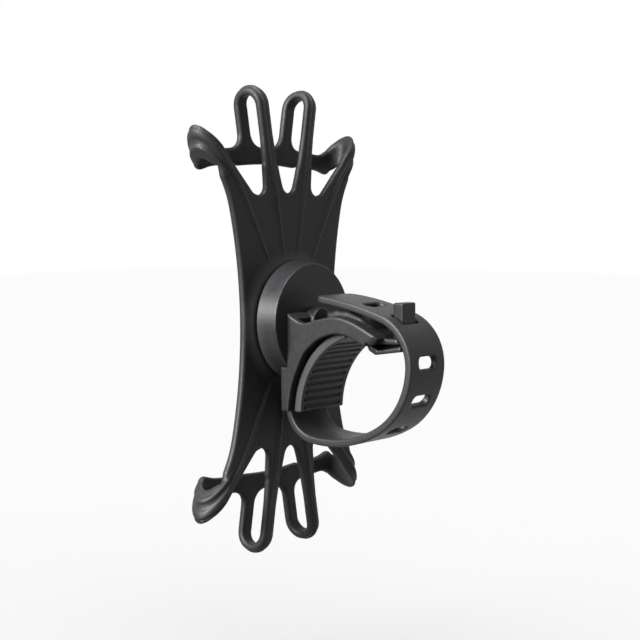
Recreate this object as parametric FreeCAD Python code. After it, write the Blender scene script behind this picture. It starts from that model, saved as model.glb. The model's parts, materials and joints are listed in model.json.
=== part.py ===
import FreeCAD, Part
import math
import os
from FreeCAD import Vector

# Bicycle phone mount: a stretchy silicone cradle on a hub that swivels on a handlebar clamp.
# Everything is drawn in the hub's frame: X across the phone, Y from the phone towards the
# handlebar, Z up, and Y = 0 on the back of the silicone panel at the swivel axis.
# save() moves each piece to the row frame, whose origin is the centre of the handlebar.

# ---- handlebar and swivel ----
BAR_Y, BAR_Z = 31.6, -18.4      # centre of the handlebar
ROUND_GAP = 0.05                # running clearance of the swivel bearing

# ---- silicone cradle ----
SKIN = 2.3                      # thickness of the panel and its fingers
WAIST = 21.3                    # half width of the panel at its middle
SIDE_R = 143.0                  # radius of the panel's hollow sides
SPLIT_Z = 36.0                  # where the stretching ends take over from the middle
PLATE_TOP = 47.6                # upper edge of the flat part of each end
BOSS_R0, BOSS_R1, BOSS_H = 20.6, 18.4, 2.3
HOLE_R = 7.9                    # hole for the hub's collar
LOOP_DEPTH = 9.0                # from the middle of the back leg to the middle of the front leg
RIB_W, RIB_H = 1.5, 0.6         # raised line along the outside of every strip
EAR_FOOT, EAR_LEAN, EAR_TIP, EAR_W = 6.9, 10.0, 72.3, 4.8
EAR_FOOT_Z = 41.0
CORNER_FOOT, CORNER_FOOT_Z = 24.0, 44.2
CORNER_LEAN, CORNER_TIP, CORNER_W = 41.2, 17.3, 5.6
BAND_LOW, BAND_HIGH = (29.8, 47.3, 48.7), (27.7, 52.3, 54.1)   # half width, end Z, middle Z

# ---- hub ----
DISC_Y0, DISC_Y1 = 2.3, 9.0     # the disc's front and back faces
DISC_R0, DISC_R1 = 18.3, 17.5
CAVITY_R = 6.9                  # bearing housing inside the disc
FLOOR_Y = 7.0                   # inner face of the disc's back plate
SPIGOT_R, SPIGOT_Y = 3.8, 4.7   # spigot of the clamp base that the disc turns on
CAP_R, CAP_FRONT, CAP_BACK = 9.1, -2.2, -1.2
PILOT_R = 1.5                   # pivot screw
WASHER_R = 6.5

# ---- clamp base ----
HALF_W = 12.65                  # half width along the handlebar
PAD_Y, PAD_Z = 36.9, -27.0      # centre of the saddle's curve
PAD_R0, PAD_R1 = 24.7, 26.7     # gripping face and back of the rubber pad
PAD_FIRST, PAD_LAST = 108.0, 179.2
HOLLOW = ((9.2, -26.4), (9.75, -22.4), (11.1, -17.2), (14.9, -9.4), (18.2, -6.1), (21.6, -3.9),
          (26.8, -2.4), (31.7, -2.9), (37.8, -5.5))     # edge of each side wall around the bar
CORE_HALF = 8.5                 # half width of the solid saddle between the side walls
SKIRT_Y = 6.5                   # face of the base beside the disc
BASE_LOW = -26.4
PAD_HALF = 10.2
GROOVES, GROOVE_FIRST, GROOVE_LAST = 11, 122.0, 176.5

# ---- strap ----
STRAP_W, STRAP_T = 17.0, 2.2
STRAP_START = (5.8, -25.5, -88.0)            # Y, Z and heading in degrees
STRAP_ARCS = ((9.7, 79.0), (38.4, 37.6), (22.6, 58.5), (14.1, 74.0), (101.0, 14.0))
SLOT_STATIONS = (40.1, 52.3, 64.0, 87.6)     # distances along the strap
SLOT_W, SLOT_L = 8.5, 4.0
PEG_Y, PEG_X_HALF, PEG_Y_HALF, PEG_TOP = 43.0, 3.2, 1.6, 6.7
PEG_SLOT_L = 4.4
STRAP_SPLIT_Z = -15.6           # the lifting end begins here
PIN_Y, PIN_Z, PIN_R = 7.7, -24.6, 0.9
PIN_HALF = STRAP_W / 2 + 2.4    # the pin ends inside the side walls
KNUCKLE_R = 2.1

os.makedirs("parts", exist_ok=True)


def save(name, shape):
    placed = shape.copy()
    placed.translate(Vector(0, -BAR_Y, -BAR_Z))
    placed.exportStep("parts/%s.step" % name)


def box(x0, x1, y0, y1, z0, z1):
    return Part.makeBox(x1 - x0, y1 - y0, z1 - z0, Vector(x0, y0, z0))


def cyl_y(r, y0, y1, x=0.0, z=0.0):
    return Part.makeCylinder(r, y1 - y0, Vector(x, y0, z), Vector(0, 1, 0))


def cyl_x(r, half, y, z):
    return Part.makeCylinder(r, 2 * half, Vector(-half, y, z), Vector(1, 0, 0))


def ring_y(r0, r1, y0, y1):
    return cyl_y(r1, y0, y1).cut(cyl_y(r0, y0, y1))


def cone_y(r0, r1, y0, y1):
    return Part.makeCone(r0, r1, y1 - y0, Vector(0, y0, 0), Vector(0, 1, 0))


def line(a, b):
    return Part.LineSegment(a, b).toShape()


def arc(a, mid, b):
    return Part.Arc(a, mid, b).toShape()


def prism(edges, along):
    return Part.Face(Part.Wire(Part.__sortEdges__(edges))).extrude(along)


def polygon(points):
    return [line(p, q) for p, q in zip(points, points[1:] + points[:1])]


def polygon_x(points, half):
    corners = [Vector(-half, y, z) for y, z in points]
    return prism(polygon(corners), Vector(2 * half, 0, 0))


def polygon_y(points, y0, y1):
    corners = [Vector(x, y0, z) for x, z in points]
    return prism(polygon(corners), Vector(0, y1 - y0, 0))


def both_sides(shape):
    return [shape, shape.mirror(Vector(0, 0, 0), Vector(1, 0, 0))]


def fused(shapes):
    whole = shapes[0].fuse(shapes[1:])
    return whole.removeSplitter()


# ---------------------------------------------------------------- cradle

def side_x(z):
    return WAIST + z * z / (2 * SIDE_R)


def slab(z0, z1):
    """Flat silicone between two heights, with the panel's hollow sides."""
    zm = (z0 + z1) / 2
    right = [Vector(side_x(z), -SKIN, z) for z in (z0, zm, z1)]
    left = [Vector(-p.x, p.y, p.z) for p in right]
    edges = [arc(*right), line(right[2], left[2]), arc(*left), line(left[0], right[0])]
    return prism(edges, Vector(0, SKIN, 0))


def silicone_panel():
    body = slab(-SPLIT_Z, SPLIT_Z).fuse(cone_y(BOSS_R0, BOSS_R1, 0, BOSS_H))
    body = body.cut(cyl_y(HOLE_R, -SKIN, BOSS_H))
    return body.cut(cyl_y(CAP_R + 0.1, -SKIN, CAP_BACK))


def finger_gaps():
    """The three windows between the four fingers of one end."""
    top = 60.0
    middle = polygon_y([(-3.15, 42.1), (3.15, 42.1), (5.4, 48.6), (5.4, top),
                        (-5.4, top), (-5.4, 48.6)], -SKIN, 0)
    middle = middle.fuse(cyl_y(3.15, -SKIN, 0, 0, 42.1))
    side = polygon_y([(10.9, 41.3), (15.9, 39.1), (24.0, 47.1), (24.0, top),
                      (11.2, top), (11.2, 48.0)], -SKIN, 0)
    side = side.fuse(cyl_y(3.0, -SKIN, 0, 13.9, 41.3))
    return [middle] + both_sides(side)


def strip_loop(foot_x, foot_z, lean, tip, width, front_from):
    """A strip that runs up the back, folds over the front and comes down again.

    It is drawn along +Z from its foot, then leaned outwards by `lean` degrees."""
    half = width / 2
    outer = LOOP_DEPTH / 2 + SKIN / 2
    inner = LOOP_DEPTH / 2 - SKIN / 2
    fold_z = tip - outer
    mid_y = -SKIN / 2 - LOOP_DEPTH / 2

    def leg_pair(w, y_out, r_out, r_in):
        back = box(-w, w, mid_y + r_in, y_out, 0, fold_z)
        front = box(-w, w, mid_y - r_out, mid_y - r_in, front_from, fold_z)
        ring = cyl_x(r_out, w, mid_y, fold_z).cut(cyl_x(r_in, w, mid_y, fold_z))
        fold = ring.common(box(-w, w, mid_y - r_out, mid_y + r_out, fold_z, fold_z + r_out))
        return [back, front, fold]

    strip = leg_pair(half, 0.0, outer, inner)
    rib = leg_pair(RIB_W / 2, RIB_H, outer + RIB_H, inner)
    loop = fused(strip + rib)
    loop.rotate(Vector(0, 0, 0), Vector(0, 1, 0), lean)
    loop.translate(Vector(foot_x, 0, foot_z))
    return loop


def band():
    """The bar across the front that joins the ends of the four strips."""
    front = -SKIN - LOOP_DEPTH
    (low_x, low_z, low_mid), (high_x, high_z, high_mid) = BAND_LOW, BAND_HIGH

    def bar(z_shift_low, z_shift_high, y0, depth):
        a = Vector(low_x, y0, low_z + z_shift_low)
        b = Vector(high_x, y0, high_z + z_shift_high)
        low = arc(Vector(-a.x, y0, a.z), Vector(0, y0, low_mid + z_shift_low), a)
        high = arc(b, Vector(0, y0, high_mid + z_shift_high), Vector(-b.x, y0, b.z))
        edges = [low, line(a, b), high, line(Vector(-b.x, y0, b.z), Vector(-a.x, y0, a.z))]
        return prism(edges, Vector(0, depth, 0))

    return [bar(0, 0, front, SKIN), bar(2.2, -1.6, front - RIB_H, RIB_H)]


def upper_web():
    ear = strip_loop(EAR_FOOT, EAR_FOOT_Z, EAR_LEAN, (EAR_TIP - EAR_FOOT_Z) / 0.985, EAR_W, 9.0)
    corner = strip_loop(CORNER_FOOT, CORNER_FOOT_Z, CORNER_LEAN, CORNER_TIP, CORNER_W, 6.5)
    plate = slab(SPLIT_Z, PLATE_TOP)
    for gap in finger_gaps():
        plate = plate.cut(gap)
    return fused([plate] + both_sides(ear) + both_sides(corner) + band())


# ---------------------------------------------------------------- hub

def hub_disc():
    disc = cone_y(DISC_R0, DISC_R1, DISC_Y0, DISC_Y1)
    rim = [e for e in disc.Edges if abs(e.BoundBox.YMin - DISC_Y1) < 0.01]
    disc = disc.makeFillet(0.4, rim)
    disc = disc.cut(ring_y(9.4, 16.0, DISC_Y0, FLOOR_Y))
    webs = []
    for i in range(6):
        web = box(9.0, 16.4, DISC_Y0 + 0.5, FLOOR_Y + 0.2, -0.6, 0.6)
        web.rotate(Vector(0, 0, 0), Vector(0, 1, 0), 60 * i)
        webs.append(web)
    collar = cyl_y(HOLE_R - 0.1, CAP_BACK, DISC_Y0 + 0.2)
    disc = fused([disc, collar] + webs)
    disc = disc.cut(cyl_y(CAVITY_R, CAP_BACK, FLOOR_Y))
    return disc.cut(cyl_y(SPIGOT_R + ROUND_GAP, FLOOR_Y - 0.1, DISC_Y1 + 0.1))


def center_cap():
    cap = cyl_y(CAP_R, CAP_FRONT, CAP_BACK)
    front = [e for e in cap.Edges if abs(e.BoundBox.YMax - CAP_FRONT) < 0.01]
    cap = cap.makeFillet(0.3, front)
    return cap.fuse(ring_y(CAVITY_R - 1.1, CAVITY_R - 0.05, CAP_BACK, 1.1)).removeSplitter()


def click_plate():
    """Thin spring-steel plate whose two bumps ride the disc's inner floor."""
    plate = ring_y(SPIGOT_R + 0.1, WASHER_R, 6.2, 6.7)
    bumps = [cone_y(0.7, 0.3, 6.7, 6.95) for _ in range(2)]
    for bump, side in zip(bumps, (-1, 1)):
        bump.translate(Vector(side * 5.2, 0, 0))
    return fused([plate] + bumps)


def disc_spring():
    """Coned spring washer around the spigot that keeps the swivel stiff."""
    inner, outer, t = SPIGOT_R + 0.15, WASHER_R - 0.1, 0.45
    section = [Vector(inner, SPIGOT_Y + 0.02, 0), Vector(outer, 6.18 - t, 0),
               Vector(outer, 6.18, 0), Vector(inner, SPIGOT_Y + 0.02 + t, 0)]
    face = Part.Face(Part.Wire(polygon(section)))
    return face.revolve(Vector(0, 0, 0), Vector(0, 1, 0), 360)


def retaining_washer():
    return ring_y(PILOT_R + 0.15, WASHER_R, SPIGOT_Y - 0.8, SPIGOT_Y)


def pivot_screw():
    seat = SPIGOT_Y - 0.8
    head = cyl_y(3.0, seat - 1.9, seat)
    edge = [e for e in head.Edges if abs(e.BoundBox.YMax - (seat - 1.9)) < 0.01]
    head = head.makeFillet(0.5, edge)
    socket = [Vector(1.35 * math.cos(math.radians(60 * i)), seat - 1.9,
                     1.35 * math.sin(math.radians(60 * i))) for i in range(6)]
    head = head.cut(prism(polygon(socket), Vector(0, 1.2, 0)))
    return head.fuse(cyl_y(PILOT_R, seat, 10.8)).removeSplitter()


def threaded_insert():
    return ring_y(PILOT_R + 0.02, 2.3, 6.0, 11.2)


# ---------------------------------------------------------------- clamp

def pad_point(r, degrees, x=0.0):
    a = math.radians(degrees)
    return Vector(x, PAD_Y + r * math.cos(a), PAD_Z + r * math.sin(a))


def base_block():
    """Outer shape of the clamp base: wavy top, arch nose, hollow side walls and skirt."""
    x = -HALF_W
    top = Part.BSplineCurve()
    top.interpolate([Vector(x, y, z) for y, z in
                     ((9.0, 3.3), (11.0, 1.9), (15.2, 0.4), (20.5, 1.6), (27.0, 2.6),
                      (33.5, 1.2), (41.0, -2.2))])
    hollow = Part.BSplineCurve()
    hollow.interpolate([Vector(x, y, z) for y, z in HOLLOW])
    heel, nose_low = HOLLOW[0], HOLLOW[-1]
    edges = [top.toShape(),
             line(Vector(x, 41.0, -2.2), Vector(x, *nose_low)),
             hollow.toShape(),
             line(Vector(x, *heel), Vector(x, SKIRT_Y, BASE_LOW)),
             line(Vector(x, SKIRT_Y, BASE_LOW), Vector(x, SKIRT_Y, -9.0)),
             line(Vector(x, SKIRT_Y, -9.0), Vector(x, DISC_Y1, -9.0)),
             line(Vector(x, DISC_Y1, -9.0), Vector(x, DISC_Y1, 3.3))]
    return prism(edges, Vector(2 * HALF_W, 0, 0))


def pad_sector(r0, r1, half):
    """A curved slab along the saddle, from its upper end to its lower end."""
    middle = (PAD_FIRST + PAD_LAST) / 2
    edges = []
    for r in (r0, r1):
        edges.append(arc(pad_point(r, PAD_FIRST, -half), pad_point(r, middle, -half),
                         pad_point(r, PAD_LAST, -half)))
    for angle in (PAD_FIRST, PAD_LAST):
        edges.append(line(pad_point(r0, angle, -half), pad_point(r1, angle, -half)))
    return prism(edges, Vector(2 * half, 0, 0))


def saddle_core():
    """The solid that backs the pad between the side walls."""
    core = pad_sector(PAD_R1, PAD_R1 + 3.5, CORE_HALF)
    return core.common(box(-CORE_HALF, CORE_HALF, SKIRT_Y, 30.0, BASE_LOW, -1.5))


def tongue():
    """The cored nose that the strap is hooked over."""
    bar = polygon_x([(37.0, -3.3), (46.3, -3.3), (47.7, -6.0), (47.6, -6.8), (38.6, -8.1),
                     (36.4, -6.9), (35.2, -4.6)], STRAP_W / 2)
    core = box(PEG_X_HALF + 1.2, STRAP_W / 2 + 1, 38.6, 47.0, -6.5, -4.8)
    for pocket in both_sides(core):
        bar = bar.cut(pocket)
    return bar


def clamp_base():
    base = base_block().fuse(saddle_core())
    inner_half = HALF_W - 2.2
    cavity = box(-inner_half, inner_half, 11.4, 20.5, -24.0, 10.0)
    cavity = cavity.cut(cyl_x(PAD_R1 + 2.2, HALF_W, PAD_Y, PAD_Z))
    ribs = [box(-inner_half, inner_half, 15.4, 16.8, -24.0, -2.5)]
    ribs += both_sides(box(4.6, 6.0, 11.0, 20.6, -24.0, -3.0))
    for rib in ribs:
        cavity = cavity.cut(rib)
    base = base.cut(cavity)
    base = base.fuse([cyl_y(4.3, DISC_Y1, 12.6), cyl_y(SPIGOT_R, SPIGOT_Y, DISC_Y1 + 0.5),
                      tongue()]).removeSplitter()
    base = base.cut(cyl_y(DISC_R1 + 0.6, 0, DISC_Y1).cut(cyl_y(SPIGOT_R, 0, DISC_Y1)))
    base = base.cut(cyl_y(2.3, 6.0, 11.2))
    base = base.cut(cyl_y(PILOT_R + 0.1, SPIGOT_Y - 0.1, 6.1))
    root_room = box(-STRAP_W / 2 - 0.4, STRAP_W / 2 + 0.4, 4.0, 11.2, -30.0, -21.6)
    base = base.cut(root_room)
    base = base.cut(cyl_x(PIN_R, PIN_HALF, PIN_Y, PIN_Z))
    base = base.cut(pad_sector(PAD_R0, PAD_R1, PAD_HALF))
    peg_pocket = box(-PEG_X_HALF, PEG_X_HALF, PEG_Y - PEG_Y_HALF, PEG_Y + PEG_Y_HALF, -6.4, 0)
    return base.cut(peg_pocket)


def saddle_pad():
    pad = pad_sector(PAD_R0, PAD_R1, PAD_HALF)
    step = (GROOVE_LAST - GROOVE_FIRST) / (GROOVES - 1)
    for i in range(GROOVES):
        angle = GROOVE_FIRST + i * step
        groove = box(-PAD_HALF + 1.6, PAD_HALF - 1.6, PAD_R0 - 1.0, PAD_R0 + 0.6, -0.35, 0.35)
        groove.rotate(Vector(0, 0, 0), Vector(1, 0, 0), angle)
        groove.translate(Vector(0, PAD_Y, PAD_Z))
        pad = pad.cut(groove)
    return pad


def strap_point(y, z, heading, side):
    """A point on one face of the strap: side is -1 for the outside, 1 for the inside."""
    a = math.radians(heading + 90 * side)
    return Vector(-STRAP_W / 2, y + STRAP_T / 2 * math.cos(a), z + STRAP_T / 2 * math.sin(a))


def strap_frames():
    """Start, middle and end (Y, Z, heading) of each arc of the strap's middle line."""
    y, z, heading = STRAP_START
    frames = []
    for radius, turn in STRAP_ARCS:
        cy = y - radius * math.sin(math.radians(heading))
        cz = z + radius * math.cos(math.radians(heading))
        trio = []
        for part in (0.0, 0.5, 1.0):
            h = heading + turn * part
            a = math.radians(h)
            trio.append((cy + radius * math.sin(a), cz - radius * math.cos(a), h))
        frames.append(trio)
        y, z, heading = trio[2]
    return frames


def strap_at(station):
    """Y, Z and heading at a distance along the strap's middle line."""
    y, z, heading = STRAP_START
    for radius, turn in STRAP_ARCS:
        length = radius * math.radians(turn)
        swept = min(station, length) / radius
        cy = y - radius * math.sin(math.radians(heading))
        cz = z + radius * math.cos(math.radians(heading))
        heading += math.degrees(swept)
        y = cy + radius * math.sin(math.radians(heading))
        z = cz - radius * math.cos(math.radians(heading))
        station -= length
        if station <= 0:
            break
    return y, z, heading


def whole_strap():
    outside, inside = [], []
    for trio in strap_frames():
        outside.append(arc(*[strap_point(*f, -1) for f in trio]))
        inside.append(arc(*[strap_point(*f, 1) for f in trio]))
    first, last = strap_frames()[0][0], strap_frames()[-1][2]
    ends = [line(strap_point(*f, -1), strap_point(*f, 1)) for f in (first, last)]
    strap = prism(outside + inside + ends, Vector(STRAP_W, 0, 0))
    for station in SLOT_STATIONS:
        y, z, heading = strap_at(station)
        slot = box(-SLOT_W / 2, SLOT_W / 2, -SLOT_L / 2, SLOT_L / 2, -2, 2)
        slot.rotate(Vector(0, 0, 0), Vector(1, 0, 0), heading)
        slot.translate(Vector(0, y, z))
        strap = strap.cut(slot)
    peg_slot = box(-SLOT_W / 2, SLOT_W / 2, PEG_Y - PEG_SLOT_L / 2, PEG_Y + PEG_SLOT_L / 2, -4, 8)
    strap = strap.cut(peg_slot)
    knuckle = cyl_x(KNUCKLE_R, STRAP_W / 2, PIN_Y, PIN_Z)
    strap = fused([strap, knuckle])
    return strap.cut(cyl_x(PIN_R, STRAP_W / 2, PIN_Y, PIN_Z))


def strap_pin():
    return cyl_x(PIN_R, PIN_HALF, PIN_Y, PIN_Z)


def strap_peg():
    peg = box(-PEG_X_HALF, PEG_X_HALF, PEG_Y - PEG_Y_HALF, PEG_Y + PEG_Y_HALF, -6.4, PEG_TOP)
    top = [e for e in peg.Edges if e.BoundBox.ZMin > PEG_TOP - 0.01]
    return peg.makeFillet(0.7, top)


def main():
    web = upper_web()
    strap = whole_strap()
    lower_half = box(-40, 40, -20, 80, -80, STRAP_SPLIT_Z)
    pieces = {
        "silicone_panel": silicone_panel(),
        "upper_web": web,
        "lower_web": web.mirror(Vector(0, 0, 0), Vector(0, 0, 1)),
        "hub_disc": hub_disc(),
        "center_cap": center_cap(),
        "click_plate": click_plate(),
        "disc_spring": disc_spring(),
        "retaining_washer": retaining_washer(),
        "pivot_screw": pivot_screw(),
        "threaded_insert": threaded_insert(),
        "clamp_base": clamp_base(),
        "saddle_pad": saddle_pad(),
        "strap_lower": strap.common(lower_half),
        "strap_upper": strap.cut(lower_half),
        "strap_pin": strap_pin(),
        "strap_peg": strap_peg(),
    }
    for name, shape in pieces.items():
        save(name, shape)
        print(name, shape.ShapeType, len(shape.Solids), shape.isValid(), round(shape.Volume, 1))


main()
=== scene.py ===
import json
import math

import bmesh
import bpy
import numpy as np
from mathutils import Matrix, Vector


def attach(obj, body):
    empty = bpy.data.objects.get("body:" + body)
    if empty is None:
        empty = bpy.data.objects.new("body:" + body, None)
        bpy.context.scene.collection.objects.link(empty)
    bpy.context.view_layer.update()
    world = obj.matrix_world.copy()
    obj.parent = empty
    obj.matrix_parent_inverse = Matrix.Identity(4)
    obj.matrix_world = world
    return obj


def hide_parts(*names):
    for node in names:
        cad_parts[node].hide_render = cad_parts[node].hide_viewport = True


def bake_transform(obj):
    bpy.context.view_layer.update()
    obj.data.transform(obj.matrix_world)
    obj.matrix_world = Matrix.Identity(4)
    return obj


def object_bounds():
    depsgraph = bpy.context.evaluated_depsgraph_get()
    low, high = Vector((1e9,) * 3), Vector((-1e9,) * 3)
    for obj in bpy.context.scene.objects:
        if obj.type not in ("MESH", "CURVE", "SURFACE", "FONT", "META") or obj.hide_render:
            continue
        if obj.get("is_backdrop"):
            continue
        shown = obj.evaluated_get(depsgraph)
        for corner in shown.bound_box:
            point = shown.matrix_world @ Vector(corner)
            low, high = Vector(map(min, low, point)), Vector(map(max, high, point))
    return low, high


# Lengths here are millimetres in the hub's frame, as the part is drawn: X across the phone,
# Y from the phone towards the handlebar, Z up, Y = 0 on the back of the silicone panel.
# place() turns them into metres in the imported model's frame.
MM = 0.001

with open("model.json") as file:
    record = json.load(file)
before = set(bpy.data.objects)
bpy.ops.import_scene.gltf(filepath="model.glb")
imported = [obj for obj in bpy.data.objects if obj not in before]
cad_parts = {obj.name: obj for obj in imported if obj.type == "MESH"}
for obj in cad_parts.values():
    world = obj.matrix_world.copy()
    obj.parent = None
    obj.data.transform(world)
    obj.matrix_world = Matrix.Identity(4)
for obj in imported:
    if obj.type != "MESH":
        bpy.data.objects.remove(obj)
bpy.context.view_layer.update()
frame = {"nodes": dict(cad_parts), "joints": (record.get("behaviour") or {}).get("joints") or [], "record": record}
JOINTS = {joint["name"]: joint for joint in frame["joints"]}
HUB = np.array(JOINTS["swivel"]["pos_m"])

# ---- silicone cradle ----
SKIN = 2.3                       # thickness of the silicone
MID = -SKIN / 2                  # middle of the back sheet
DEPTH = 9.0                      # from the back sheet to the front band
FRONT_MID = MID - DEPTH
FOLD_MID = MID - DEPTH / 2
EDGE_R = 0.85                    # rounding of the sheet's and the strips' edges
WAIST, SIDE_R = 21.3, 143.0      # half width at the hub and radius of the hollow sides
PLATE_TOP = 47.4
MIDDLE_WINDOW = [(0, 42.2), (6.1, 60), (-6.1, 60)]
SIDE_WINDOW = [(13.5, 41.2), (14.7, 41.5), (33.2, 60), (14.4, 60)]
WINDOW_RADII = (3.15, 2.9)       # how far the windows open beyond those outlines
EAR_W, EAR_TIP, EAR_FOOT = 4.5, 70.9, (6.9, 41.0)
EAR_LEAN = math.radians(9.8)
EAR_FRONT_LEG, EAR_BACK_LEG = 15, 34  # how far the ears' legs reach below their fold
CORNER_MID = (29.0, 48.6)        # a point on the middle of a corner strip
CORNER_LEAN = math.radians(43.5)
CORNER_HALF = 2.9
CORNER_FRONT_LEG, CORNER_BACK_LEG = 1.5, 16  # and the corners' legs below CORNER_MID
CORNER_FOLD_X, CORNER_FOLD_Z, CORNER_FOLD_LEAN = 29.6, 53.0, 0.13
# the line of the ridge from the hub to a corner
CORNER_SPOKE = [(9.0, 16.6), (16.0, 29.4), (21.6, 39.4), (25.0, 44.2), (29.2, 48.7), (37.5, 57.4)]
BAND_MID_Z, BAND_DROP, BAND_HALF_H = 50.7, 1.7, 2.55
RIDGE_HALF, RIDGE_H = 0.75, 0.58  # ridge along the outside of the strips
LIP_INSET, LIP_SIZE = 0.75, 0.6  # rim along the outer edge of the corner strips
HEEL_Z = 46.5                    # lowest point of the corners' front legs
RIDGE_MARGIN = 1.35              # from the edge of a front strip to its raised middle
GROOVE_COUNT, GROOVE_START, GROOVE_END = 40, 12.1, 53.0
GROOVE_HALF, GROOVE_FLOOR, GROOVE_DEPTH = 0.34, 0.1, 0.7  # half widths at the top and bottom
BOSS = (20.8, 18.2, 1.4)         # foot radius, top radius and height of the boss round the hub
PLUG_R, PLUG_TOP = 16.8, 2.3     # its middle, which meets the disc
HOLE_R, CAP_SEAT_R, CAP_SEAT_Y = 7.9, 9.25, -1.2

# ---- clamp ----
HALF_W = 12.65
BASE_LOW_Z = -26.4
PAD_CENTRE, PAD_FACE_R, PAD_BACK_R = (36.9, -27.0), 24.7, 27.2
PAD_ENDS = (108.0, 179.2)
# side views, as Y and Z: wavy top, saddle side, hump, tongue and the pocket under the peg
BASE_TOP = [(9.0, 3.3), (11.0, 1.9), (15.2, 0.4), (20.5, 1.6), (27.0, 2.6), (33.5, 1.2),
            (41.0, -2.2)]
HOLLOW = [(37.8, -5.5), (31.7, -2.9), (26.8, -2.4), (21.6, -3.9), (18.2, -6.1), (14.9, -9.4),
          (11.1, -17.2), (9.75, -22.4), (9.2, BASE_LOW_Z)]
HUMP = [(20.6, -3), (20.6, 3.5), (24, 4.3), (28, 4.1), (33, 2.4), (37.5, -0.4), (37.5, -3)]
TONGUE = [(37.0, -3.3), (46.3, -3.3), (47.7, -6.0), (47.6, -6.8), (38.6, -8.1), (36.4, -6.9),
          (35.2, -4.6)]
POCKET = [(37.6, -5.6), (39.6, -6.7), (47.2, -5.4), (47.0, -4.7), (39.6, -4.9), (38.6, -4.2)]
CORE_HALF, CORE_T, WALL_T = 8.5, 3.5, 2.2
CROSS_RIB, CROSS_RIB_TOP = (15.4, 16.8), -2.5
LONG_RIB_X, LONG_RIB_HALF, LONG_RIB_TOP = 5.3, 0.7, -3.0
PIVOT_R, PIVOT_END = 4.3, 12.6
PAD_HALF = 10.2
PAD_GROOVES, PAD_FIRST, PAD_LAST = 11, 122.0, 176.5
PAD_GROOVE_HALF = PAD_HALF - 1.9
DENT_R = 0.55                    # round dents at the grooves' ends
DISC_BACK, DISC_R = 9.0, 17.5

# ---- strap ----
STRAP_W, STRAP_T = 17.0, 2.2
STRAP_START = (5.8, -25.5, -88.0)  # Y, Z and heading in degrees
# radius and turn in degrees of each arc of the strap's middle line
STRAP_ARCS = ((9.7, 79.0), (38.4, 37.6), (22.6, 58.5), (14.1, 74.0), (101.0, 14.0))
SLOT_STATIONS = (40.1, 52.1, 63.2, 88.8)  # distances along that line
PEG_STATION = 77.4
SLOT_W, SLOT_L, SLOT_CORNER_R = 8.4, 3.6, 1.6
PEG_SLOT_L, PEG_SLOT_CORNER_R = 4.6, 0.6
END_CORNER_R = 2.2
PIN_CENTRE, PIN_R, KNUCKLE_R = (7.7, -24.6), 0.9, 2.1
PEG_Y, PEG_HALF, PEG_LOW, PEG_TOP = 43.0, (3.2, 1.75), -6.4, 6.7


def place(points):
    """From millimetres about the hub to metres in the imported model's frame."""
    return np.asarray(points) * MM + HUB


# ------------------------------------------------------------------ distance fields

def smooth_min(a, b, k):
    """Either field, with a fillet about k wide where they meet."""
    h = np.maximum(k - np.abs(a - b), 0) / k
    return np.minimum(a, b) - h * h * k / 4


def smooth_max(a, b, k):
    """Both fields at once, with their common edge softened over about k."""
    return -smooth_min(-a, -b, k)


def rounded(a, b, r):
    """Both fields at once, with the edge between them rounded to radius r."""
    p, q = a + r, b + r
    return np.minimum(np.maximum(p, q), 0) + np.hypot(np.maximum(p, 0), np.maximum(q, 0)) - r


def between(value, low, high):
    """Below zero where the value lies between two limits."""
    return np.abs(value - (low + high) / 2) - (high - low) / 2


def from_segment(u, v, start, end):
    """The two steps from the nearest point of a straight segment."""
    ex, ey = end[0] - start[0], end[1] - start[1]
    t = np.clip(((u - start[0]) * ex + (v - start[1]) * ey) / (ex * ex + ey * ey), 0, 1)
    return u - start[0] - t * ex, v - start[1] - t * ey


def polygon(corners):
    """The signed distance of a closed outline in a plane, below zero inside."""
    corners = np.array(corners, float)
    following = np.roll(corners, -1, axis=0)

    def field(u, v):
        u, v = np.broadcast_arrays(u, v)
        best = np.full(u.shape, np.inf)
        odd = np.zeros(u.shape, bool)
        for start, end in zip(corners, following):
            du, dv = from_segment(u, v, start, end)
            best = np.minimum(best, du ** 2 + dv ** 2)
            (ax, ay), (bx, by) = start, end
            crosses = (ay > v) != (by > v)
            rise = by - ay if abs(by - ay) > 1e-12 else 1e-12
            odd ^= crosses & (u < ax + (v - ay) / rise * (bx - ax))
        return np.sqrt(best) * np.where(odd, -1.0, 1.0)

    return field


def polyline_distance(points):
    """Distance in a plane from an open line."""
    def field(u, v):
        best = np.inf
        for start, end in zip(points, points[1:]):
            best = np.minimum(best, np.hypot(*from_segment(u, v, start, end)))
        return best

    return field


def arc_points(centre, radius, first, last, count):
    angles = np.radians(np.linspace(first, last, count))
    return [(centre[0] + radius * math.cos(a), centre[1] + radius * math.sin(a)) for a in angles]


def curve_through(points, per_span=6):
    """A smooth line through a few points."""
    p = np.array([points[0], *points, points[-1]], float)
    out = []
    for a, b, c, d in zip(p, p[1:], p[2:], p[3:]):
        for t in np.linspace(0, 1, per_span, endpoint=False):
            out.append(tuple(0.5 * (2 * b + (c - a) * t + (2 * a - 5 * b + 4 * c - d) * t ** 2
                                    + (3 * b - a - 3 * c + d) * t ** 3)))
    return out + [tuple(p[-1])]


# ------------------------------------------------------------------ surfaces of fields

RELAXING = 2                     # rounds of evening out a surface's points


def gradient(field, p):
    """The field's slope at each point, along X, Y and Z."""
    step = 0.02
    sides = []
    for axis in np.eye(3) * step:
        sides.append((field(*(p + axis).T) - field(*(p - axis).T)) / (2 * step))
    return np.stack(sides, axis=1)


def settle(field, p, reach, rounds=3):
    """Pulls points on to the field's surface."""
    for _ in range(rounds):
        g = gradient(field, p)
        move = field(*p.T)[:, None] * g / np.maximum((g * g).sum(1), 0.2)[:, None]
        length = np.linalg.norm(move, axis=1)[:, None]
        p = p - move * np.minimum(1, reach / np.maximum(length, 1e-9))
    return p


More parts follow.
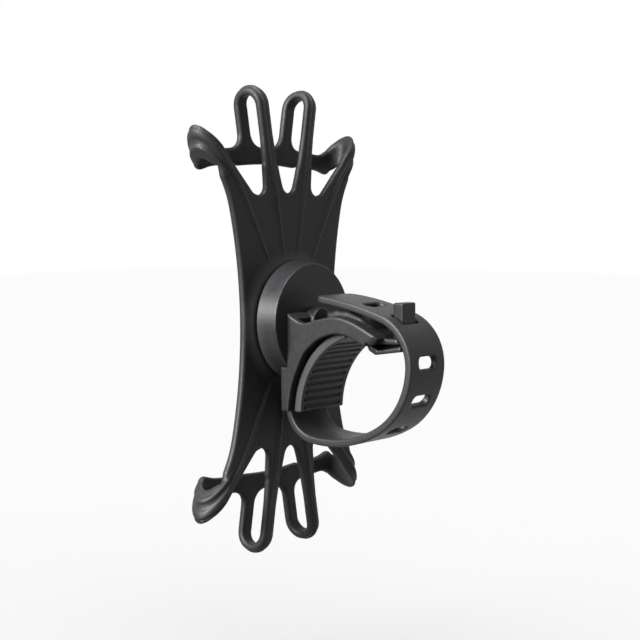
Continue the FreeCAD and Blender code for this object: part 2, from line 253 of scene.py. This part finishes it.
def relax(p, faces):
    """Moves each point half way to the middle of its neighbours."""
    total = np.zeros_like(p)
    count = np.zeros(len(p))
    for a, b in zip(faces.T, np.roll(faces, -1, axis=1).T):
        for here, there in ((a, b), (b, a)):
            np.add.at(total, here, p[there])
            np.add.at(count, here, 1)
    return p * 0.5 + total / np.maximum(count, 1)[:, None] * 0.5


def surface(field, low, high, cell, softening=0):
    """Points and four-sided faces on the surface of a field inside a box.

    Softening is how often the points are evened out at the end without settling again.
    """
    axes = [np.arange(a, b + cell, cell) for a, b in zip(low, high)]
    shape = [len(a) for a in axes]
    value = np.broadcast_to(field(*np.ix_(*axes)), shape)
    inside = value < 0
    cells = [n - 1 for n in shape]
    ids, spots, rings = [], [], []
    for a in range(3):
        b, c = (a + 1) % 3, (a + 2) % 3
        first = [slice(None)] * 3
        second = [slice(None)] * 3
        first[a], second[a] = slice(0, -1), slice(1, None)
        first, second = tuple(first), tuple(second)
        edge = np.stack(np.nonzero(inside[first] != inside[second]), axis=1)
        if not len(edge):
            continue
        d0 = value[first][tuple(edge.T)]
        d1 = value[second][tuple(edge.T)]
        spot = edge.astype(float)
        spot[:, a] += d0 / (d0 - d1)
        ring, whole = [], np.ones(len(edge), bool)
        for db, dc in ((0, 0), (-1, 0), (-1, -1), (0, -1)):
            cell_index = edge.copy()
            cell_index[:, b] += db
            cell_index[:, c] += dc
            ok = ((cell_index >= 0) & (cell_index < cells)).all(axis=1)
            flat = np.ravel_multi_index(np.clip(cell_index, 0, np.array(cells) - 1).T, cells)
            ids.append(flat[ok])
            spots.append(spot[ok])
            ring.append(flat)
            whole &= ok
        ring = np.stack(ring, axis=1)
        facing_back = ~inside[first][tuple(edge.T)]
        ring[facing_back] = ring[facing_back][:, ::-1]
        rings.append(ring[whole])
    used, index = np.unique(np.concatenate(ids), return_inverse=True)
    spots = np.concatenate(spots)
    p = np.stack([np.bincount(index, spots[:, k]) for k in range(3)], axis=1)
    p = p / np.bincount(index)[:, None] * cell + np.array([axis[0] for axis in axes])
    faces = np.searchsorted(used, np.concatenate(rings))
    p = settle(field, p, cell)
    for _ in range(RELAXING):
        p = settle(field, relax(p, faces), cell, 2)
    for _ in range(softening):
        p = relax(p, faces)
    return p, faces


def triangles(p, quads):
    """Splits each four-sided face along its shorter diagonal."""
    d0 = np.linalg.norm(p[quads[:, 0]] - p[quads[:, 2]], axis=1)
    d1 = np.linalg.norm(p[quads[:, 1]] - p[quads[:, 3]], axis=1)
    turned = np.where((d0 <= d1)[:, None], quads, np.roll(quads, -1, axis=1))
    return np.concatenate([turned[:, [0, 1, 2]], turned[:, [0, 2, 3]]])


def split(p, tris, normal, offset, snap=0.035):
    """Cuts the faces along a plane, which adds points there and removes nothing."""
    normal = np.asarray(normal, float)
    s = p @ normal - offset
    near = np.abs(s) < snap
    p = p - np.where(near, s, 0)[:, None] * normal
    s = np.where(near, 0, s)
    sign = np.sign(s)[tris]
    mixed = (sign.max(axis=1) > 0) & (sign.min(axis=1) < 0)
    cut, kept, sign = tris[mixed], tris[~mixed], sign[mixed]
    if not len(cut):
        return p, tris
    on_line = (sign == 0).any(axis=1)
    lone = np.where(sign.sum(axis=1) > 0, -1, 1)
    pivot = np.where(on_line, (sign == 0).argmax(axis=1), (sign == lone[:, None]).argmax(axis=1))
    order = (pivot[:, None] + np.arange(3)) % 3
    a, b, c = np.take_along_axis(cut, order, axis=1).T

    def crossing(u, v):
        return np.stack([np.minimum(u, v), np.maximum(u, v)], axis=1)

    full = ~on_line
    pairs = np.concatenate([crossing(a[full], b[full]), crossing(a[full], c[full]),
                            crossing(b[on_line], c[on_line])])
    unique, index = np.unique(pairs, axis=0, return_inverse=True)
    index = index.ravel() + len(p)
    u, v = unique.T
    t = (s[u] / (s[u] - s[v]))[:, None]
    added = p[u] * (1 - t) + p[v] * t
    n = int(full.sum())
    ab, ac, bc = index[:n], index[n:2 * n], index[2 * n:]
    pieces = [kept,
              np.stack([a[full], ab, ac], axis=1),
              np.stack([ab, b[full], c[full]], axis=1),
              np.stack([ab, c[full], ac], axis=1),
              np.stack([a[on_line], b[on_line], bc], axis=1),
              np.stack([a[on_line], bc, c[on_line]], axis=1)]
    return np.concatenate([p, added]), np.concatenate(pieces)


def above_plane(p, tris, normal, offset):
    """Keeps the side of a plane that its normal points to."""
    p, tris = split(p, tris, normal, offset)
    keep = (p[tris].mean(axis=1) @ np.asarray(normal, float)) > offset
    tris = tris[keep]
    used, index = np.unique(tris, return_inverse=True)
    return p[used], index.reshape(tris.shape)


def mesh_object(name, p, faces, material):
    """A smooth-shaded object at its place in the model."""
    mesh = bpy.data.meshes.new(name)
    mesh.from_pydata(place(p).tolist(), [], faces.tolist())
    mesh.validate()
    mesh.shade_smooth()
    mesh.materials.append(material)
    piece = bpy.data.objects.new(name, mesh)
    bpy.context.scene.collection.objects.link(piece)
    return piece


def solid(name, field, low, high, cell, material):
    """A piece made from one field, which is sampled in small cells inside a box."""
    p, quads = surface(field, low, high, cell)
    return mesh_object(name, p, quads, material)


def close_holes(piece):
    """Caps the open edges with faces that don't change the shading beside them."""
    bm = bmesh.new()
    bm.from_mesh(piece.data)
    open_edges = [e for e in bm.edges if e.is_boundary]
    caps = bmesh.ops.holes_fill(bm, edges=open_edges, sides=0)["faces"]
    for e in open_edges:
        e.smooth = False
    bmesh.ops.triangulate(bm, faces=caps)
    bm.to_mesh(piece.data)
    bm.free()


# ------------------------------------------------------------------ materials

def link(tree, a, out, b, into):
    tree.links.new(a.outputs[out], b.inputs[into])


def node(tree, kind, **values):
    made = tree.nodes.new(kind)
    for key, value in values.items():
        setattr(made, key, value)
    return made


def noise(tree, place_by, size_mm, detail=3.0, roughness=0.55):
    """Noise whose features are about size_mm across."""
    made = node(tree, "ShaderNodeTexNoise")
    made.inputs["Scale"].default_value = 1 / (size_mm * MM)
    made.inputs["Detail"].default_value = detail
    made.inputs["Roughness"].default_value = roughness
    link(tree, place_by, "Object", made, "Vector")
    return made


def ranged(tree, source, out, low, high, from_low=0.3, from_high=0.7):
    """A node that spreads a value over the range from low to high."""
    made = node(tree, "ShaderNodeMapRange")
    for name, value in (("From Min", from_low), ("From Max", from_high),
                        ("To Min", low), ("To Max", high)):
        made.inputs[name].default_value = value
    link(tree, source, out, made, "Value")
    return made


def moulded(name, dark, light, rough, grain_mm, grain, cloud_mm=9.0, wear=0.0, metallic=0.0):
    """A moulded or turned surface: soft cloudy colour, fine grain and paler worn edges."""
    material = bpy.data.materials.new(name)
    material.use_nodes = True
    tree = material.node_tree
    shader = tree.nodes["Principled BSDF"]
    by = node(tree, "ShaderNodeTexCoord")
    cloud = noise(tree, by, cloud_mm, 4.0)
    fine = noise(tree, by, grain_mm, 2.0, 0.5)
    tone = ranged(tree, cloud, "Fac", 0.0, 1.0)
    mix = node(tree, "ShaderNodeMix", data_type="RGBA")
    mix.inputs["A"].default_value = (*dark, 1)
    mix.inputs["B"].default_value = (*light, 1)
    link(tree, tone, "Result", mix, "Factor")
    colour = mix
    if wear:
        edge = node(tree, "ShaderNodeNewGeometry")
        worn = ranged(tree, edge, "Pointiness", 0.0, wear, 0.51, 0.6)
        rub = node(tree, "ShaderNodeMix", data_type="RGBA")
        rub.inputs["B"].default_value = (*[v * 2.0 + 0.015 for v in light], 1)
        link(tree, worn, "Result", rub, "Factor")
        link(tree, mix, "Result", rub, "A")
        colour = rub
    link(tree, colour, "Result", shader, "Base Color")
    speckle = noise(tree, by, grain_mm * 6, 3.0)
    roughness = ranged(tree, speckle, "Fac", rough - 0.06, rough + 0.06)
    link(tree, roughness, "Result", shader, "Roughness")
    bump = node(tree, "ShaderNodeBump")
    bump.inputs["Strength"].default_value = grain
    bump.inputs["Distance"].default_value = 0.05 * MM
    link(tree, fine, "Fac", bump, "Height")
    link(tree, bump, "Normal", shader, "Normal")
    shader.inputs["Metallic"].default_value = metallic
    shader.inputs["Specular IOR Level"].default_value = 0.5 if metallic else 0.15
    return material


def grey(value):
    """A dark grey with a faint cast of blue."""
    return (value, value * 0.99, value * 1.08)


FINISHES = {
    "cradle_silicone": dict(dark=grey(0.005), light=grey(0.007), rough=0.5,
                            grain_mm=0.22, grain=0.08, wear=0.06),
    "disc_plastic": dict(dark=grey(0.0055), light=grey(0.0075), rough=0.38,
                         grain_mm=0.22, grain=0.2, wear=0.25),
    "cap_plastic": dict(dark=grey(0.017), light=grey(0.021), rough=0.45,
                        grain_mm=0.12, grain=0.3, wear=0.15),
    "clamp_plastic": dict(dark=grey(0.0045), light=grey(0.006), rough=0.42,
                          grain_mm=0.22, grain=0.3, wear=0.2),
    "strap_silicone": dict(dark=grey(0.007), light=grey(0.009), rough=0.44,
                           grain_mm=0.18, grain=0.25, wear=0.2),
    "pad_rubber": dict(dark=grey(0.014), light=grey(0.018), rough=0.52,
                       grain_mm=0.16, grain=0.35, wear=0.1),
    "peg_plastic": dict(dark=grey(0.004), light=grey(0.006), rough=0.38,
                        grain_mm=0.2, grain=0.2, wear=0.25),
    "steel": dict(dark=(0.50, 0.50, 0.52), light=(0.62, 0.62, 0.64), rough=0.3,
                  grain_mm=0.08, grain=0.2, cloud_mm=2.0, metallic=1.0),
    "brass": dict(dark=(0.62, 0.42, 0.16), light=(0.74, 0.53, 0.24), rough=0.32,
                  grain_mm=0.08, grain=0.2, cloud_mm=2.0, metallic=1.0),
}
MATERIALS = {name: moulded(name, **finish) for name, finish in FINISHES.items()}


# ------------------------------------------------------------------ silicone cradle

def panel_side(ax, z):
    """Distance beyond the hollow side of the panel."""
    return SIDE_R - np.hypot(ax - (WAIST + SIDE_R), z)


def hub_boss(r, y, edge):
    """The low boss round the hub, with a plug in its middle that meets the disc."""
    slope = (BOSS[0] - BOSS[1]) / BOSS[2]
    cone = (r - (BOSS[0] - slope * np.maximum(y, 0))) / math.hypot(1, slope)
    boss = rounded(cone, between(y, -1, BOSS[2]), 0.4)
    boss = np.minimum(boss, np.maximum(r - PLUG_R, between(y, -1, PLUG_TOP)))
    return np.maximum(boss, edge + 0.3)


def cradle_field():
    """The upper half of the cradle; the lower half is its mirror image."""
    windows = [polygon(outline) for outline in (MIDDLE_WINDOW, SIDE_WINDOW)]
    ear_u = (math.sin(EAR_LEAN), math.cos(EAR_LEAN))
    corner_u = (math.sin(CORNER_LEAN), math.cos(CORNER_LEAN))
    fold_r = DEPTH / 2
    ear_fold_z = EAR_TIP - fold_r - SKIN / 2
    ear_fold_u = (ear_fold_z - EAR_FOOT[1]) / ear_u[1]
    corner_spoke = polyline_distance(curve_through(CORNER_SPOKE, 4))

    def folded(outward, y):
        """Height above the outside of a strip that folds back over itself."""
        straight = np.abs(y - FOLD_MID)
        return np.where(outward < 0, straight, np.hypot(outward, y - FOLD_MID)) - fold_r - SKIN / 2

    def strip(side, above):
        return rounded(side, np.abs(above + SKIN / 2) - SKIN / 2, EDGE_R)

    def ridge(across, above, size, y, front_leg):
        size = np.where(y < FOLD_MID, size * np.clip(-front_leg / 5, 0, 1), size)
        line = rounded(across - RIDGE_HALF * size, np.abs(above) - RIDGE_H * size, 0.4)
        return np.maximum(line, np.minimum(FOLD_MID - y, front_leg))

    def field(x, y, z):
        ax = np.abs(x)
        # the ear's own directions: eu along it, ev across it
        ex, ez = ax - EAR_FOOT[0], z - EAR_FOOT[1]
        eu = ex * ear_u[0] + ez * ear_u[1] - ear_fold_u
        ev = ex * ear_u[1] - ez * ear_u[0]
        ear_side = np.abs(ev) - EAR_W / 2 - 0.5 * np.clip((-eu - 9) / 9, 0, 1)
        ear_above = folded(eu, y)
        # the corner strip: cv across it, cu outwards from the axis of its fold
        cx, cz = ax - CORNER_MID[0], z - CORNER_MID[1]
        along = cx * corner_u[0] + cz * corner_u[1]
        taper = np.clip(along / 9, 0, 1)
        cv = cx * corner_u[1] - cz * corner_u[0] - 0.4 * taper
        corner_out = cv - CORNER_HALF + 0.45 * taper
        corner_in = -cv - CORNER_HALF + 0.45 * taper + 0.7 * np.clip((3 - along) / 6, 0, 1)
        corner_side = np.maximum(corner_out, corner_in)
        cu = (ax - CORNER_FOLD_X) - CORNER_FOLD_LEAN * (z - CORNER_FOLD_Z)
        cu = cu / math.hypot(1, CORNER_FOLD_LEAN)
        corner_above = folded(cu, y)
        # back sheet
        edge = panel_side(ax, z)
        sheet = smooth_max(edge, z - PLATE_TOP, 1.5)
        for window, r in zip(windows, WINDOW_RADII):
            sheet = smooth_max(sheet, r - window(ax, z), 1.0)
        ear_back = np.maximum(ear_side, np.maximum(eu, -eu - EAR_BACK_LEG))
        corner_back = np.maximum(corner_side, np.maximum(cu, -along - CORNER_BACK_LEG))
        back = smooth_min(sheet, ear_back, 1.0)
        back = smooth_min(back, corner_back, 0.6 + 3.9 * np.clip((cv + 1) / 2, 0, 1))
        back = rounded(back, np.abs(y - MID) - SKIN / 2, EDGE_R)
        # front band, with the front legs of the ears and corners
        band_z = BAND_MID_Z - BAND_DROP * (ax / 28) ** 2
        band = np.maximum(np.abs(z - band_z) - BAND_HALF_H, ax - 31)
        ear_low, corner_low = -eu - EAR_FRONT_LEG, -along - CORNER_FRONT_LEG
        ear_front = np.maximum(ear_side, np.maximum(eu, ear_low))
        corner_front = np.maximum(corner_side, np.maximum(cu, corner_low))
        corner_front = smooth_max(corner_front, HEEL_Z - z, 1.5)
        outline = smooth_max(band, corner_out, 2.0)
        outline = smooth_min(outline, ear_front, 5.0)
        outline = smooth_min(outline, corner_front, 3.5)
        front = rounded(outline, np.abs(y - FRONT_MID) - SKIN / 2, EDGE_R)
        raised = rounded(outline + RIDGE_MARGIN, np.abs(y - FRONT_MID + 0.9) - SKIN / 2 + 0.5, 0.2)
        front = smooth_min(front, raised, 0.2)
        # strips folded over the phone, with ridges that run down the back to the hub
        ear = strip(np.maximum(ear_side, ear_low), ear_above)
        corner = smooth_max(np.maximum(corner_side, corner_low), HEEL_Z - z, 1.5)
        corner = strip(corner, corner_above)
        fade = np.clip(0.45 + 0.55 * (z - 16) / 26, 0.45, 1)
        ear_ridge = ridge(np.abs(ev), ear_above, fade, y, ear_low)
        corner_ridge = ridge(corner_spoke(ax, z), corner_above, fade, y, corner_low)
        lip = ridge(np.abs(cv - CORNER_HALF + LIP_INSET), corner_above,
                    LIP_SIZE * np.clip((along + 10) / 6, 0, 1), y, corner_low)
        corner_ridge = np.minimum(corner_ridge, lip)
        whole = np.minimum(np.minimum(back, ear), corner)
        whole = smooth_min(whole, front, 0.15)
        whole = smooth_min(whole, np.minimum(ear_ridge, corner_ridge), 0.2)
        # the hub's boss and hole, and the seat of the round cap
        r = np.hypot(x, z)
        whole = smooth_min(whole, hub_boss(r, y, edge), 0.8)
        whole = np.maximum(whole, HOLE_R - r)
        seat = np.maximum(r - CAP_SEAT_R, y - CAP_SEAT_Y)
        return np.maximum(whole, -seat)

    return field


def carve_grooves(p, tris):
    """The fine grooves that fan out from the hub over the front of the panel."""
    step = 360 / GROOVE_COUNT
    for i in range(GROOVE_COUNT // 2 + 1):
        angle = math.radians(i * step)
        across = (-math.sin(angle), 0, math.cos(angle))
        for offset in (-GROOVE_HALF, -GROOVE_FLOOR, GROOVE_FLOOR, GROOVE_HALF):
            p, tris = split(p, tris, across, offset)
    x, y, z = p.T
    reach = np.hypot(x, z)
    front = (y < -SKIN + 0.4) & (y > -SKIN - 0.4)
    sink = np.zeros(len(p))
    for i in range(GROOVE_COUNT // 2 + 1):
        angle = math.radians(i * step)
        off = np.abs(z * math.cos(angle) - x * math.sin(angle))
        ahead = x * math.cos(angle) + z * math.sin(angle) > 0
        shape = np.clip((GROOVE_HALF - off) / (GROOVE_HALF - GROOVE_FLOOR), 0, 1)
        sink = np.maximum(sink, shape * ahead)
    start = np.clip((reach - GROOVE_START) / 0.35, 0, 1)
    stop = np.clip(GROOVE_END - z, 0, 1) * np.clip(-panel_side(np.abs(x), z) / 0.6 - 0.9, 0, 1)
    p[:, 1] = y + np.where(front, GROOVE_DEPTH * sink * start * stop, 0)
    return p, tris


def make_cradle():
    cell = 0.42
    low = (-38.6, FRONT_MID - 2.2, -1.5)
    high = (38.6, PLUG_TOP + 0.9, 73.2)
    p, quads = surface(cradle_field(), low, high, cell, softening=1)
    tris = triangles(p, quads)
    p, tris = above_plane(p, tris, (0, 0, 1), 0.0)
    p, tris = carve_grooves(p, tris)
    stretch = {"cradle_upper": (1, "top_hooks", "upper_web"),
               "cradle_lower": (-1, "bottom_hooks", "lower_web")}
    for name, (side, body, web) in stretch.items():
        faces = tris if side > 0 else tris[:, ::-1]
        piece = mesh_object(name, p * (1, 1, side), faces, MATERIALS["cradle_silicone"])
        close_holes(piece)
        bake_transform(piece)
        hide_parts(web, "silicone_panel")


# ------------------------------------------------------------------ clamp

def base_outline():
    """The side view of the clamp base: wavy top, arch nose, hollow saddle side and skirt."""
    nose = [(42.1, -3.2), (38.9, -6.5)]
    skirt = [(6.5, BASE_LOW_Z), (6.5, -9.0), (9.0, -9.0)]
    return polygon(curve_through(BASE_TOP) + nose + curve_through(HOLLOW) + skirt)


def hollow_inside(cavity, ax, y, z):
    """The room inside the arch, without the two long ribs and the cross rib in it."""
    room = rounded(cavity, ax - (HALF_W - WALL_T), 0.5)
    cross_rib = between(y, *CROSS_RIB)
    long_rib = np.abs(ax - LONG_RIB_X) - LONG_RIB_HALF
    room = smooth_max(room, -np.maximum(cross_rib, z - CROSS_RIB_TOP), 0.5)
    return smooth_max(room, -np.maximum(long_rib, z - LONG_RIB_TOP), 0.5)


def clamp_field():
    side_view = base_outline()
    hump_view, tongue_view, pocket_view = polygon(HUMP), polygon(TONGUE), polygon(POCKET)
    cavity_view = polygon([(11.4, 12), (11.4, -13.5)]
                          + arc_points(PAD_CENTRE, PAD_BACK_R + WALL_T, 152, 125, 10)
                          + [(20.5, 12)])

    def field(x, y, z):
        ax = np.abs(x)
        reach = np.hypot(y - PAD_CENTRE[0], z - PAD_CENTRE[1])
        # the nose's end is chamfered towards both sides
        nose_end = 0.75 * y - 0.66 * z - 32.6
        slant = 0.6 * nose_end + 0.8 * (ax - HALF_W)
        whole = rounded(np.maximum(side_view(y, z), slant), ax - HALF_W, 0.4)
        hump = smooth_max(hump_view(y, z), ax - CORE_HALF, 1.5)
        whole = smooth_min(whole, hump, 0.6)
        core = np.maximum(between(reach, PAD_BACK_R, PAD_BACK_R + CORE_T),
                          between(z, BASE_LOW_Z, -1.5))
        core = rounded(np.maximum(core, y - 30), ax - CORE_HALF, 0.3)
        whole = smooth_min(whole, core, 0.3)
        seat = np.maximum(np.maximum(reach - PAD_BACK_R, ax - PAD_HALF - 0.1), y - 29.2)
        whole = smooth_max(whole, -seat, 0.2)
        whole = smooth_max(whole, -hollow_inside(cavity_view(y, z), ax, y, z), 0.4)
        pivot = rounded(np.hypot(x, z) - PIVOT_R, between(y, DISC_BACK, PIVOT_END), 0.4)
        whole = smooth_min(whole, pivot, 0.8)
        tongue = rounded(tongue_view(y, z), ax - STRAP_W / 2, 0.35)
        whole = smooth_min(whole, tongue, 0.5)
        pocket = rounded(pocket_view(y, z), PEG_HALF[0] + 1.2 - ax, 0.2)
        whole = smooth_max(whole, -pocket, 0.25)
        disc = np.maximum(np.hypot(x, z) - (DISC_R + 0.6), y - DISC_BACK)
        whole = smooth_max(whole, -disc, 0.3)
        root = np.maximum(between(z, -30, -21.6), np.maximum(ax - (STRAP_W / 2 + 0.4), y - 11.2))
        return smooth_max(whole, -root, 0.4)

    return field


def make_clamp():
    base = solid("clamp_body", clamp_field(), (-13.4, 5.8, -27.2), (13.4, 48.8, 4.9), 0.36,
                 MATERIALS["clamp_plastic"])
    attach(base, "clamp")
    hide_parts("clamp_base")


def pad_field():
    step = math.radians(PAD_LAST - PAD_FIRST) / (PAD_GROOVES - 1)
    first = math.radians(PAD_FIRST)
    low_angle, high_angle = (math.radians(a) for a in PAD_ENDS)

    def field(x, y, z):
        u, v = y - PAD_CENTRE[0], z - PAD_CENTRE[1]
        r = np.hypot(u, v)
        angle = np.mod(np.arctan2(v, u), 2 * math.pi)
        ends = np.maximum(low_angle - angle, angle - high_angle) * r
        slab = rounded(rounded(between(r, PAD_FACE_R, PAD_BACK_R), np.abs(x) - PAD_HALF, 0.35),
                       ends, 0.5)
        index = np.clip(np.round((angle - first) / step), 0, PAD_GROOVES - 1)
        off = (angle - first - index * step) * r
        # louvre shape: steep on the lower side of each rib and gentle on the upper side
        ramp = np.where(off > 0, off / 0.35, -off / 1.5)
        groove = (r - PAD_FACE_R) + 0.75 * np.minimum(ramp, 1.2) - 0.6
        groove = smooth_max(groove, np.abs(x) - PAD_GROOVE_HALF, 0.3)
        dent = np.hypot(off + 0.1, x - PAD_GROOVE_HALF) - DENT_R
        dent = np.maximum(dent, between(r, PAD_FACE_R - 1, PAD_FACE_R + 1.7))
        return smooth_max(slab, -np.minimum(groove, dent), 0.12)

    return field


def make_pad():
    pad = solid("saddle_rubber", pad_field(), (-11.0, 9.5, -27.6), (11.0, 30.2, -0.9), 0.25,
                MATERIALS["pad_rubber"])
    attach(pad, "clamp")
    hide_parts("saddle_pad")


# ------------------------------------------------------------------ strap

def strap_frames(stations):
    """Y, Z and heading in radians at distances along the strap's middle line."""
    y, z, heading = STRAP_START
    heading = math.radians(heading)
    done = 0.0
    out = np.zeros((len(stations), 3))
    for i, (radius, turn) in enumerate(STRAP_ARCS):
        length = radius * math.radians(turn)
        last = i == len(STRAP_ARCS) - 1
        here = (stations >= done) & ((stations < done + length) | last)
        here |= (stations < 0) & (i == 0)
        h = heading + (stations[here] - done) / radius
        centre = (y - radius * math.sin(heading), z + radius * math.cos(heading))
        out[here] = np.stack([centre[0] + radius * np.sin(h), centre[1] - radius * np.cos(h), h],
                             axis=1)
        heading += math.radians(turn)
        y = centre[0] + radius * math.sin(heading)
        z = centre[1] - radius * math.cos(heading)
        done += length
    return out


def strap_length():
    """Length of the strap's middle line."""
    return sum(radius * math.radians(turn) for radius, turn in STRAP_ARCS)


def strap_flat_field():
    """The strap laid flat: x across, s along, n from its outside to its inside."""
    length = strap_length()

    def field(x, s, n):
        ax = np.abs(x)
        plan = rounded(ax - STRAP_W / 2, s - length, END_CORNER_R)
        plan = np.maximum(plan, -1.0 - s)
        slots = [(station, SLOT_L, SLOT_CORNER_R) for station in SLOT_STATIONS]
        for station, slot_l, r in [*slots, (PEG_STATION, PEG_SLOT_L, PEG_SLOT_CORNER_R)]:
            slot = rounded(ax - SLOT_W / 2, np.abs(s - station) - slot_l / 2, r)
            plan = np.maximum(plan, -slot)
        return rounded(plan, np.abs(n) - STRAP_T / 2, 0.5)

    return field


def make_strap():
    length = strap_length()
    low = (-STRAP_W / 2 - 0.8, -2.0, -STRAP_T / 2 - 0.7)
    high = (STRAP_W / 2 + 0.8, length + 0.8, STRAP_T / 2 + 0.7)
    p, quads = surface(strap_flat_field(), low, high, 0.33)
    x, s, n = p.T
    y, z, heading = strap_frames(s).T
    bent = np.stack([x, y - n * np.sin(heading), z + n * np.cos(heading)], axis=1)
    strap = mesh_object("strap", bent, quads[:, ::-1], MATERIALS["strap_silicone"])
    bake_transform(strap)
    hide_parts("strap_lower", "strap_upper")

    def knuckle(x, y, z):
        r = np.hypot(y - PIN_CENTRE[0], z - PIN_CENTRE[1])
        return rounded(np.maximum(r - KNUCKLE_R, PIN_R - r), np.abs(x) - STRAP_W / 2, 0.3)

    eye = solid("strap_eye", knuckle, (-9.2, 5.0, -27.4), (9.2, 10.4, -21.8), 0.3,
                MATERIALS["strap_silicone"])
    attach(eye, "clamp")


def make_peg():
    def field(x, y, z):
        sides = rounded(np.abs(x) - PEG_HALF[0], np.abs(y - PEG_Y) - PEG_HALF[1], 0.45)
        return rounded(sides, between(z, PEG_LOW, PEG_TOP), 0.5)

    peg = solid("peg", field, (-3.9, 40.8, -7.0), (3.9, 45.2, 7.3), 0.24,
                MATERIALS["peg_plastic"])
    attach(peg, "clamp")
    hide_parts("strap_peg")


# ------------------------------------------------------------------ CAD nodes that show

def paint_cad():
    slots = {s["node"]: s["material_slot"] for s in frame["record"]["subparts"]}
    for name, obj in frame["nodes"].items():
        obj.data.materials.clear()
        obj.data.materials.append(MATERIALS[slots[name]])


# ------------------------------------------------------------------ studio, in metres

FLOOR_SIZE, FLOOR_GAP = 6.0, 0.03  # the gap is between the floor and the object
LAMP_DISTANCE, LAMP_SIZE = 0.9, 0.4


def make_stage():
    """A pale floor in even light; returns the collection that keeps lamps off the floor."""
    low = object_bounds()[0][2] - FLOOR_GAP
    bpy.ops.mesh.primitive_plane_add(size=FLOOR_SIZE, location=(0, 0, low))
    floor = bpy.context.object
    floor.name = "floor"
    paper = bpy.data.materials.new("paper")
    paper.use_nodes = True
    shader = paper.node_tree.nodes["Principled BSDF"]
    shader.inputs["Base Color"].default_value = (0.97, 0.97, 0.97, 1)
    shader.inputs["Roughness"].default_value = 0.9
    floor.data.materials.append(paper)
    floor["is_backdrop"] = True
    unlit = bpy.data.collections.new("not_lit_by_lamps")
    unlit.objects.link(floor)
    unlit.collection_objects[0].light_linking.link_state = "EXCLUDE"
    world = bpy.data.worlds.new("studio")
    bpy.context.scene.world = world
    world.use_nodes = True
    back = world.node_tree.nodes["Background"]
    back.inputs["Color"].default_value = (1, 1, 1, 1)
    back.inputs["Strength"].default_value = 1.0
    return unlit


def area_light(name, azimuth, elevation, watts, receivers, glossy=True):
    """A soft square light, aimed at the middle of the object from a direction in degrees."""
    target = Vector(place((0, 8, 0)))
    a, e = math.radians(azimuth), math.radians(elevation)
    direction = Vector((math.sin(a) * math.cos(e), -math.cos(a) * math.cos(e), math.sin(e)))
    data = bpy.data.lights.new(name, "AREA")
    data.size = LAMP_SIZE
    data.energy = watts
    lamp = bpy.data.objects.new(name, data)
    lamp.light_linking.receiver_collection = receivers
    lamp.visible_glossy = glossy
    lamp.location = target + direction * LAMP_DISTANCE
    lamp.rotation_euler = direction.to_track_quat("Z", "Y").to_euler()
    bpy.context.scene.collection.objects.link(lamp)


def make_camera():
    """Close to the object, from behind and to its right, a little above the hub."""
    azimuth, elevation, roll = math.radians(130.68), math.radians(3.95), math.radians(-0.48)
    distance = 411 * MM
    back = Vector((math.sin(azimuth) * math.cos(elevation),
                   -math.cos(azimuth) * math.cos(elevation), math.sin(elevation)))
    right = Vector((0, 0, 1)).cross(back).normalized()
    up = back.cross(right)
    turned_right = right * math.cos(roll) + up * math.sin(roll)
    turned_up = up * math.cos(roll) - right * math.sin(roll)
    data = bpy.data.cameras.new("camera")
    data.sensor_width = 36.0
    data.lens = 74.9
    data.shift_x = 0.045
    data.clip_start = 0.01
    camera = bpy.data.objects.new("camera", data)
    basis = Matrix((turned_right, turned_up, back)).transposed().to_4x4()
    camera.matrix_world = Matrix.Translation(Vector(place((0, 0, 0))) + back * distance) @ basis
    bpy.context.scene.collection.objects.link(camera)
    bpy.context.scene.camera = camera


make_cradle()
make_clamp()
make_pad()
make_strap()
make_peg()
paint_cad()
off_floor = make_stage()
bpy.context.scene.view_settings.view_transform = "Standard"
area_light("key", 80, 22, 52, off_floor)
area_light("top", 90, 72, 20, off_floor)
area_light("front", -20, 10, 45, off_floor, glossy=False)
make_camera()
